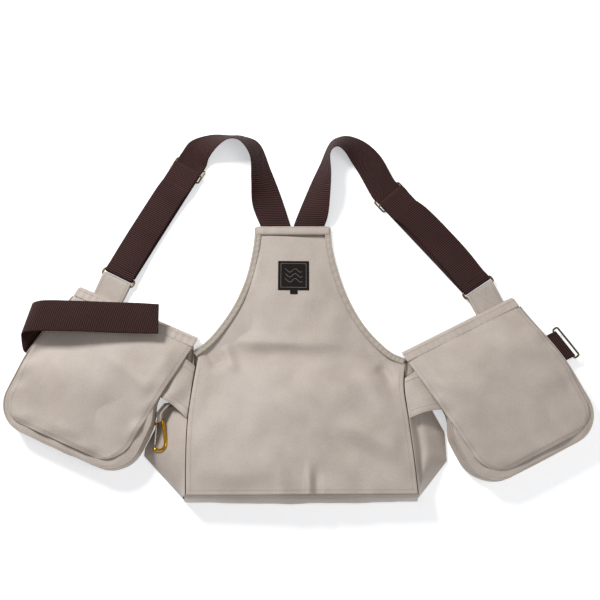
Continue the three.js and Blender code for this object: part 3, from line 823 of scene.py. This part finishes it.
def make_bag(name, side, at):
    """The pocket itself: back, side, front, corded seams and the tape along the mouth."""
    body, low, mouth = f"{name}_pocket", POCKET["height"] - 0.5, POCKET["mouth"]
    span = pocket_span(side)
    rear = face(at, span, -4, low, lambda x, y, u, v: 1.2 + 0 * y)
    piece_of(f"{name}_pocket_rear", rear, (40, 44), LINING, body, f"{name}_pocket_back", thick=1.2)
    piece_of(f"{name}_pocket_side", pocket_wall(side, at), (230, 12), FABRIC, body, f"{name}_pocket_gusset")
    front = face(at, span, mouth, low, front_height(side["seed"] + 3))
    piece_of(f"{name}_pocket_face", front, (60, 64), FABRIC, body, f"{name}_pocket_front")
    for layer in ("front", "back"):
        seam = tube(f"{name}_pocket_seam_{layer}", pocket_seam(side, at, layer), 1.15, TAPE, sides=8, per=2)
        finish_piece(seam, body)
    tape = face(at, lambda y: (POCKET["drawn_in"] + 2 + 0 * y, side["mouth_width"] - 2 + 0 * y),
                mouth - 0.6, mouth + BINDING, lambda x, y, u, v: front_z(y) + 1.1 + 0.2 * np.sin(x * 0.9))
    piece_of(f"{name}_mouth_binding", tape, (70, 5), TAPE, body, f"{name}_pocket_binding", thick=0.8)


def lid_rows(lid_face):
    """Stitch lines down the flap's two sides and along its foot."""
    t = np.linspace(0, 1, 220)
    lines = [(0.028 + 0 * t, 0.80 * t), (0.972 + 0 * t, 0.80 * t), (mix(0.02, 0.98, t), 0.86 + 0 * t)]
    return [(lid_face(u, v) + vec(0, 0, CLOTH / 2), np.tile(vec(0, 0, 1), (len(t), 1))) for u, v in lines]


def make_flap(name, side, at):
    body, flap_body = f"{name}_pocket", f"{name}_flap"
    lid_face = face(at, flap_span(side), 0, FLAP["height"] - 0.4, flap_height(name, side["seed"]))
    piece_of(f"{name}_lid", lid_face, (76, 80), FABRIC, flap_body, f"{name}_flap")

    def hem_height(x, y, u, v):
        return front_z(y) + FLAP["clear"] + 1.15 + 0.18 * np.sin(x * 0.55) + 0.3 * arch(v)

    hem_span = lambda y: (0.1 * y - 0.3, outer_side(side, y) - FLAP["inside"] + 0.3)
    hem_face = face(at, hem_span, -0.8, HEM, hem_height)
    piece_of(f"{name}_lid_hem", hem_face, (80, 6), FABRIC, flap_body, f"{name}_flap_hem", thick=0.9)
    top_z = float(front_z(0)) + FLAP["clear"]

    def rise(u, v):
        turn = v * np.pi / 2
        y, z = mix(-5.4, -0.2, 1 - np.cos(turn)), mix(1.9, top_z, np.sin(turn))
        return at(mix(1.0, side["mouth_width"] - 2, u), y, z)

    root = piece_of(f"{name}_lid_root", rise, (60, 8), FABRIC, None)
    point(at(110, -4, 3))
    point(at(110, -4, 3), top_z - 1)
    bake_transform(root)
    hem_rows = [rows_between(hem_face, 0.01, s, 0.99, s, 300) for s in (0.93, 0.12)]
    sewn(f"{name}_lid_stitching", lid_rows(lid_face) + hem_rows, flap_body)


def make_joining(name, side, at):
    """The cloth between the bag and the pocket: a fold at the hip, in the darker lining colour as painted
    shade under the connector, and the sewn connector over it.
    """
    body, sign = f"{name}_pocket", side["sign"]
    hip_top = vec(*ARMHOLE[name][-1][:2], 4.5)
    hip_low = Spline(SEAM[name])(0.14) + vec(sign * 2, 0, -5)
    far_top, far_low = at(8, -1, 6), at(POCKET["drawn_in"] - 1, 36, 12)

    def shaded_hip_fold(u, v):
        p = mix(mix(hip_top, hip_low, v[..., None]), mix(far_top, far_low, v[..., None]), u[..., None])
        p[..., 2] += 2.2 * np.sin(u * 11 + v * 3) * arch(v) - 1.5 * arch(u)
        return p

    # a fold of cloth given the darker lining colour as painted shade beneath the connector
    hip = piece_of(f"{name}_shaded_hip_fold", shaded_hip_fold, (24, 16), LINING, None)
    point(hip_top, 8)
    point(at(8, 17, 8))
    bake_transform(hip)
    link_face = connector(name, side, at)
    link = piece_of(f"{name}_connector", link_face, (30, 36), FABRIC, None, f"side_connector_{name}")
    start, end = link_face(np.array(0.12), np.array(0.5)), link_face(np.array(0.95), np.array(0.5))
    point(start)
    point(end)
    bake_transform(link)
    rows = [rows_between(link_face, 0.02, s, 0.98, s, 80) for s in (0.03, 0.15, 0.85, 0.97)]
    tie = sewn(f"{name}_connector_stitching", rows, None)
    point(start)
    point(end)
    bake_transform(tie)


def make_pocket(name, side):
    out, down, at = axes_of(side)
    for make in (make_bag, make_flap, make_joining):
        make(name, side, at)
    return out, down, at


FRAMES = {name: make_pocket(name, side) for name, side in SIDES.items()}


# ---------------------------------------------------------------- webbing and its hardware
def band(points, side, width):
    """The surface of a band along a row of points; side is its direction across, or a function of u."""
    path = Spline(points)
    across = side if callable(side) else (lambda u: np.broadcast_to(side, (*np.shape(u), 3)))
    wide = width if callable(width) else (lambda u: width)
    return lambda u, v: path(u) + across(u) * ((0.5 - v) * wide(u))[..., None]


def fold_round(bar, direction, r, lower, upper):
    """A band's way round a bar: along its lower tail, round the far side and back along the upper tail."""
    turn = []
    for degrees in (-90, -120, -150, 180, 150, 120, 90):
        a = math.radians(degrees)
        turn.append(bar + direction * r * math.cos(a) + vec(0, 0, r * math.sin(a)))
    tail = lambda d, z: vec(*(bar + direction * d)[:2], z)
    return [tail(*t) for t in lower] + turn + [tail(*t) for t in upper]


def rounded_loop(corner, half, width, radius=5.0, steps=5):
    """A rectangle's outline with rounded corners; corner(a, b) gives a point of its plane."""
    points = []
    for sa, sb, start in ((1, 1, 0), (-1, 1, 90), (-1, -1, 180), (1, -1, 270)):
        for k in range(steps + 1):
            a = math.radians(start + 90 * k / steps)
            points.append(corner(sa * (half - radius) + radius * math.cos(a),
                                 sb * (width - radius) + radius * math.sin(a)))
    return points


def metal_frame(name, body, node, corner, half, width, r, bar=None):
    loop = tube(f"{name}_frame", rounded_loop(corner, half, width, 3.4), r, BRASS, closed=True, per=2)
    finish_piece(loop, body, node, slot="antique_brass")
    if bar:
        finish_piece(tube(f"{name}_bar", bar, r, BRASS), body, slot="antique_brass")


def cross_box(surface, u0, u1, v0=0.08, v1=0.92, cross=True):
    """Rows of stitches round a box on a surface, with or without its diagonals."""
    ends = [(u0, v0, u1, v0), (u0, v1, u1, v1), (u0, v0, u0, v1), (u1, v0, u1, v1)]
    diagonals = [(u0, v0, u1, v1), (u0, v1, u1, v0)] if cross else []
    return [rows_between(surface, *e, 60) for e in ends] + [rows_between(surface, *e, 80) for e in diagonals]


def level(place, z):
    return vec(*place[:2], z)


class Shoulder:
    """One side's ring, tab, strap and slider, with the places and directions they share."""

    def __init__(self, name, side):
        self.name, self.side = name, side
        _, self.down, at = FRAMES[name]
        self.ring = at(TAB["x"], RING["y"], RING["z"])
        self.slider = vec(*side["slider"], 0)
        self.towards = unit((self.ring - self.slider) * vec(1, 1, 0))
        self.ring_dir = unit(self.towards + self.down)
        self.across, self.square = perpendicular(self.ring_dir), perpendicular(self.towards)
        self.turn = RING["wire"] + 0.6 + WEB_T / 2
        self.upper_bar = self.ring - self.ring_dir * RING["half"]
        self.length = float(np.linalg.norm((self.upper_bar - self.slider)[:2]))
        self.pocket_body, self.slider_body = f"{name}_pocket", f"{name}_slider"
        self.ring_body = f"{name}_ring"

    def ring_and_tab(self):
        name = self.name
        corner = lambda a, b: self.ring + self.ring_dir * a + self.across * b
        metal_frame(self.ring_body, self.ring_body, self.ring_body, corner, RING["half"], RING["width"] / 2,
                    RING["wire"])
        far = TAB["end"] - RING["y"] - RING["half"]
        route = fold_round(self.ring + self.ring_dir * RING["half"], self.down, self.turn,
                           [(far, 3.2), (far / 2, 3.2)], [(far / 2, 7.6), (far * 0.8, 5.6), (far, 5.0)])
        surface = band(route, self.across, TAB["width"])
        piece_of(f"{name}_tab", surface, (60, 16), FABRIC, self.pocket_body, f"{name}_strap_tab", thick=WEB_T)
        rows = [rows_between(surface, 0.55, v, 0.97, v, 60) for v in (0.08, 0.92)]
        rows += cross_box(surface, 0.66, 0.95, cross=name == "right")
        sewn(f"{name}_tab_stitching", rows, self.pocket_body)

    def strap(self):
        name, side = self.name, self.side
        width = self.square * side["sign"] * WEB_W / 2
        stations = [(-22, 4.7), (-8, 4.6), (20, 4.6), (self.length * 0.6, 4.5), (self.length - 5, 3.2)]
        rest, lean = [
            Spline(list(side[edge_name]) + [level(self.slider + self.towards * s + width * k, z)
                                            for s, z in stations], uniform=True)
            for edge_name, k in (("rest", 1), ("lean", -1))]

        def surface(u, v):
            bow = arch(v) * smooth(u * 6) * smooth((0.62 - u) * 8)
            waves = wrinkle(u * 900, v * 50, 120, 31 + side["sign"]) * smooth(u * 8) * smooth((0.6 - u) * 8)
            p = mix(rest(u), lean(u), v[..., None])
            p[..., 2] += 1.6 * bow + 0.5 * waves
            return p

        strap = webbing(f"{name}_strap", surface, (190, 12), None, f"{name}_shoulder_strap")
        self.pocket_body
        [point((x, self.slider[1], 10)) for x in side["bend"]]
        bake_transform(strap)

    def return_layer(self):
        """The layer back from the ring: the fold round the ring keeps its shape, and the rest is a separate
        piece on the pocket.
        """
        name, towards = self.name, self.towards
        twist = lambda u: mix(self.across, self.square, smooth((u - 0.3) / 0.4)[..., None])
        reach = self.length - SLIDER["tail"] - 1
        slack = level(self.upper_bar, RING["z"] + RING["play"] / 2)
        upper = [(30, 10.6), (reach * 0.35, 9.0), (reach * 0.7, 8.8), (reach * 0.9, 10.4), (reach, 11.4)]
        straight = band(fold_round(slack, -towards, self.turn + RING["play"] / 2, [], upper), twist, WEB_W)
        cut, stays = 0.59, 18.0  # where the fold ends: along the layer, and in millimetres from the ring

        def surface(u, v):
            bow = self.side["bow"] * np.sin(np.pi * np.clip((u - cut) / (1 - cut), 0, 1))
            p = straight(u, v) + self.square * bow[..., None]
            p[..., 2] += 0.9 * arch(v) * smooth(u * 6 - 1) * smooth((1 - u) * 6)
            return p

        fold = webbing(f"{name}_return_fold", lambda u, v: surface(cut * u, v), (40, 12), None)
        point(slack - towards * 7)
        point(slack - towards * stays)
        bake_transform(fold)
        cut_place = surface(np.array(cut), np.array(0.5))
        back = webbing(f"{name}_return", lambda u, v: surface(mix(cut - 0.004, 1, u), v), (90, 12),
                       self.pocket_body, f"{name}_strap_return")
        point(cut_place)
        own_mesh(back)

    def slider_and_end(self):
        name, towards, slider = self.name, self.towards, self.slider
        low, high, tail = SLIDER["low"], SLIDER["high"], SLIDER["tail"]
        route = fold_round(level(slider, high), towards, SLIDER["wire"] + 0.35 + WEB_T / 2,
                           [(tail, 6.5), (14, 6.45)], [(14, 11.75), (tail, 11.8)])
        surface = band(route, self.square, WEB_W)
        webbing(f"{name}_end", surface, (70, 12), self.slider_body, f"{name}_strap_end")
        sewn(f"{name}_end_stitching", cross_box(surface, 0.70, 0.78, cross=False), self.slider_body,
             DARK_THREAD, "webbing")
        corner = lambda a, b: level(slider + towards * a + self.square * b, low)
        w = SLIDER["width"] / 2
        profile = [(-w, low), (-w + 2, 6), (-w + 5, high), (0, high), (w - 5, high), (w - 2, 6), (w, low)]
        bar = [level(slider + self.square * b, z) for b, z in profile]
        metal_frame(self.slider_body, self.slider_body, self.slider_body, corner, SLIDER["half"], w,
                    SLIDER["wire"], bar)


for name, side in SIDES.items():
    shoulder = Shoulder(name, side)
    shoulder.ring_and_tab()
    shoulder.strap()
    shoulder.return_layer()
    shoulder.slider_and_end()


# ---------------------------------------------------------------- waist closure
FOLD_TOP = [(-441, -22, 44), (-436, -19, 55), (-424, -17, 62), (-405, -16, 62), (-365, -16, 57),
            (-310, -16, 48), (-262, -16, 41), (-234, -17, 38)]
FOLD_LOW = [(-455, -70, 44), (-450, -68, 55), (-438, -67, 62), (-405, -66, 62), (-365, -66, 57),
            (-310, -66, 48), (-262, -66, 41), (-233, -66, 38)]


def waist_strap(u, v):
    p = mix(Spline(FOLD_TOP)(u), Spline(FOLD_LOW)(u), v[..., None])
    p[..., 2] += (0.8 * arch(v) + 0.5 * wrinkle(p[..., 0], p[..., 1], 110, 61)) * smooth(u * 5)
    return p


webbing("waist_strap", waist_strap, (110, 12), "left_waist_strap", "left_waist_strap")
_, _, left_at = FRAMES["left"]
middle_line = [left_at(x, y, z) for x, y, z in ((240.5, 108, 17), (245, 108, 21), (250, 107, 28))]
side_up = left_at(0, -WEB_W / 2) - left_at(0, 0)
root_top = Spline([p + side_up for p in middle_line] + [vec(-444, -24, 37), vec(*FOLD_TOP[0])])
root_low = Spline([p - side_up for p in middle_line] + [vec(-457, -71, 37), vec(*FOLD_LOW[0])])
root_surface = lambda u, v: mix(root_top(u), root_low(u), v[..., None])
strap_root = webbing("waist_strap_root", root_surface, (36, 12), None, "left_waist_strap_root")
point(left_at(240, 108, 20))
point(vec(-447, -46, 43))
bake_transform(strap_root)

out, _, right_at = FRAMES["right"]
spin = Matrix.Rotation(math.radians(BUCKLE["turn"]), 3, "Z")
buckle_out = np.array(spin @ Vector(out))
buckle_side = perpendicular(buckle_out)
inner_bar = right_at(BUCKLE["x"], BUCKLE["y"], BUCKLE["z"])
drop = math.radians(BUCKLE["drop"])
sloped = buckle_out * math.cos(drop) + vec(0, 0, -math.sin(drop))
buckle_middle = inner_bar + sloped * BUCKLE["length"] / 2
buckle_corner = lambda a, b: buckle_middle + sloped * a + buckle_side * b
metal_frame("waist_buckle", "waist_buckle", "waist_buckle", buckle_corner, BUCKLE["length"] / 2,
            BUCKLE["width"] / 2, BUCKLE["wire"])
stub_turn = BUCKLE["wire"] + 0.35 + WEB_T / 2
stub_route = fold_round(inner_bar, -out, stub_turn, [(BUCKLE["stub"], BUCKLE["z"] - stub_turn)],
                        [(BUCKLE["stub"], BUCKLE["z"] + stub_turn)])
webbing("waist_stub", band(stub_route, buckle_side, WEB_W), (40, 12), "right_pocket", "right_waist_stub")


# ---------------------------------------------------------------- carabiner on its cloth loop
plane_turn = Matrix.Rotation(math.radians(-CARABINER["tilt"]), 3, "Y") @ Matrix.Rotation(
    math.radians(CARABINER["turn"]), 3, "Z")


def on_plane(p, q, n=0.0):
    """A point of the carabiner's own plane: p across it, q down it, n off it."""
    return np.array(plane_turn @ Vector((p, -q, n))) + vec(*CARABINER["at"])


def disc(name, body, material, slot, p, q, r, thick, middle=0.0):
    ends = [on_plane(p, q, middle + s * thick / 2) for s in (-1, -0.8, 0.8, 1)]
    piece = tube(name, ends, [r * 0.86, r, r, r * 0.86], material, sides=24, per=2)
    return finish_piece(piece, body, slot=slot)


ARC = [(6 * math.cos(math.radians(d)), -6 * math.sin(math.radians(d))) for d in (0, 30, 60, 90, 120, 145)]
SPINE = [(-11.5, 37.5), (-10.6, 40.2), (-8.0, 42.3), (-3.5, 43.2), (1, 43.1), (4.6, 42.0), (8.0, 39.0),
         (9.7, 35.0), (9.9, 30), (7.8, 13)]
hook = tube("carabiner_hook", [on_plane(p, q) for p, q in SPINE + ARC],
            [2.0, 2.3, 2.5, 2.5, 2.6, 2.7, 2.7, 2.6, 2.4, 2.3, 2.3, 2.3, 2.2], GOLD, sides=18)
finish_piece(hook, "carabiner", "carabiner_body", slot="gold")
HINGE = (-6.2, 0.5)
for k, middle in (("near", 1.95), ("far", -1.95)):
    disc(f"carabiner_cheek_{k}", "carabiner", GOLD, "gold", *HINGE, 3.0, 1.1, middle)
gate_line = [on_plane(*place) for place in ((-6.2, 1.0), (-7.0, 5.5), (-7.4, 8), (-9.2, 21), (-11, 33.5))]
gate = tube("carabiner_gate_rod", gate_line, [0.95, 1.0, 1.7, 1.75, 1.75, 1.75, 1.6], STEEL, sides=16)
finish_piece(gate, "carabiner_gate", "carabiner_gate", slot="steel")
disc("carabiner_gate_eye", "carabiner_gate", STEEL, "steel", *HINGE, 2.2, 2.0)
rivet = disc("carabiner_rivet", "carabiner", STEEL, "steel", *HINGE, 1.2, 5.6)
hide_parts("carabiner_gate_pin")

loop_bar = on_plane(0, -6)
loop_dir = unit((on_plane(0, -1) - on_plane(0, 0)) * vec(1, 1, 0))
loop_turn = CARABINER["rod"] + 1.6
loop_root = loop_bar + vec(12, 27, 0)
loop_route = [vec(*loop_root[:2], 16.0), *fold_round(loop_bar, loop_dir, loop_turn, [(9, 15.8)], [(9, 25.0)]),
              vec(*loop_root[:2], 20.5)]
loop_side = on_plane(1, 0) - on_plane(0, 0)
loop_width = lambda u: mix(4.5, 13.5, np.abs(2 * u - 1) ** 2)


def loop_surface(u, v):
    p = band(loop_route, loop_side, loop_width)(u, v)
    p[..., 2] += 0.9 * wrinkle(u * 90, v * 13, 17, 71) * arch(v) + 0.5 * np.sin(v * 9)
    return p


loop = piece_of("carabiner_loop_cloth", loop_surface, (60, 12), TAPE, None, "carabiner_loop")
point(loop_root)
point(loop_bar + vec(4, 9, 0))
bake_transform(loop)


# ---------------------------------------------------------------- woven label
class Ground:
    """Heights of the outer panel below a place."""

    def __init__(self, piece):
        mesh = piece.data
        self.tree = BVHTree.FromPolygons([v.co for v in mesh.vertices], [p.vertices for p in mesh.polygons])

    def __call__(self, x, y):
        flat = []
        for a, b in zip(np.ravel(x), np.ravel(y)):
            above = Vector(((a + SHIFT[0]) * MM, (b + SHIFT[1]) * MM, 1))
            hit = self.tree.ray_cast(above, Vector((0, 0, -1)))[0]
            flat.append(hit.z / MM if hit else 10.0)
        return np.array(flat).reshape(np.shape(x))


ground = Ground(panel)
half = LABEL_SIZE / 2


def label_surface(u, v):
    x, y = LABEL_AT[0] + mix(-half, half, u), LABEL_AT[1] + mix(half, -half, v)
    tuck = np.exp(-((np.minimum(np.minimum(u, 1 - u), np.minimum(v, 1 - v)) * LABEL_SIZE / 2.0) ** 2))
    return np.stack([x, y, ground(x, y) + 1.1 - 0.45 * tuck], axis=-1)


def tag_surface(u, v):
    x = LABEL_AT[0] + 0.5 + mix(-TAG[0] / 2, TAG[0] / 2, u)
    y = LABEL_AT[1] - half + mix(2, -TAG[1], v)
    return np.stack([x, y, ground(x, y) + 0.75 + 0.3 * arch(v)], axis=-1)


piece_of("label_patch", label_surface, (30, 30), LABEL_CLOTH, "back", "woven_label", thick=0.8, slot="label")
piece_of("size_tab", tag_surface, (8, 6), LABEL_CLOTH, "back", "size_tag", thick=0.6, slot="label")


def label_line(points):
    p = np.array(points, float)
    x, y = LABEL_AT[0] + p[:, 0], LABEL_AT[1] + p[:, 1]
    line = np.stack([x, y, ground(x, y) + 1.45], axis=-1)
    return line, np.tile(vec(0, 0, 1), (len(p), 1))


s = np.linspace(-1, 1, 60)
inset = half - 4.5
border = [label_line([(inset * a, inset * b) for a, b in row]) for row in
          ([(k, 1) for k in s], [(1, k) for k in s], [(k, -1) for k in s], [(-1, k) for k in s])]
waves = [label_line([(15 * k, level + 3.2 * math.sin(k * 5.2 + 0.6)) for k in s]) for level in (9, 0, -9)]
emblem = stitches("label_stitching", border + waves, GREY_THREAD, pitch=1.5, length=1.25, radius=0.36,
                  lift=0.1)
finish_piece(emblem, "back", slot="label")
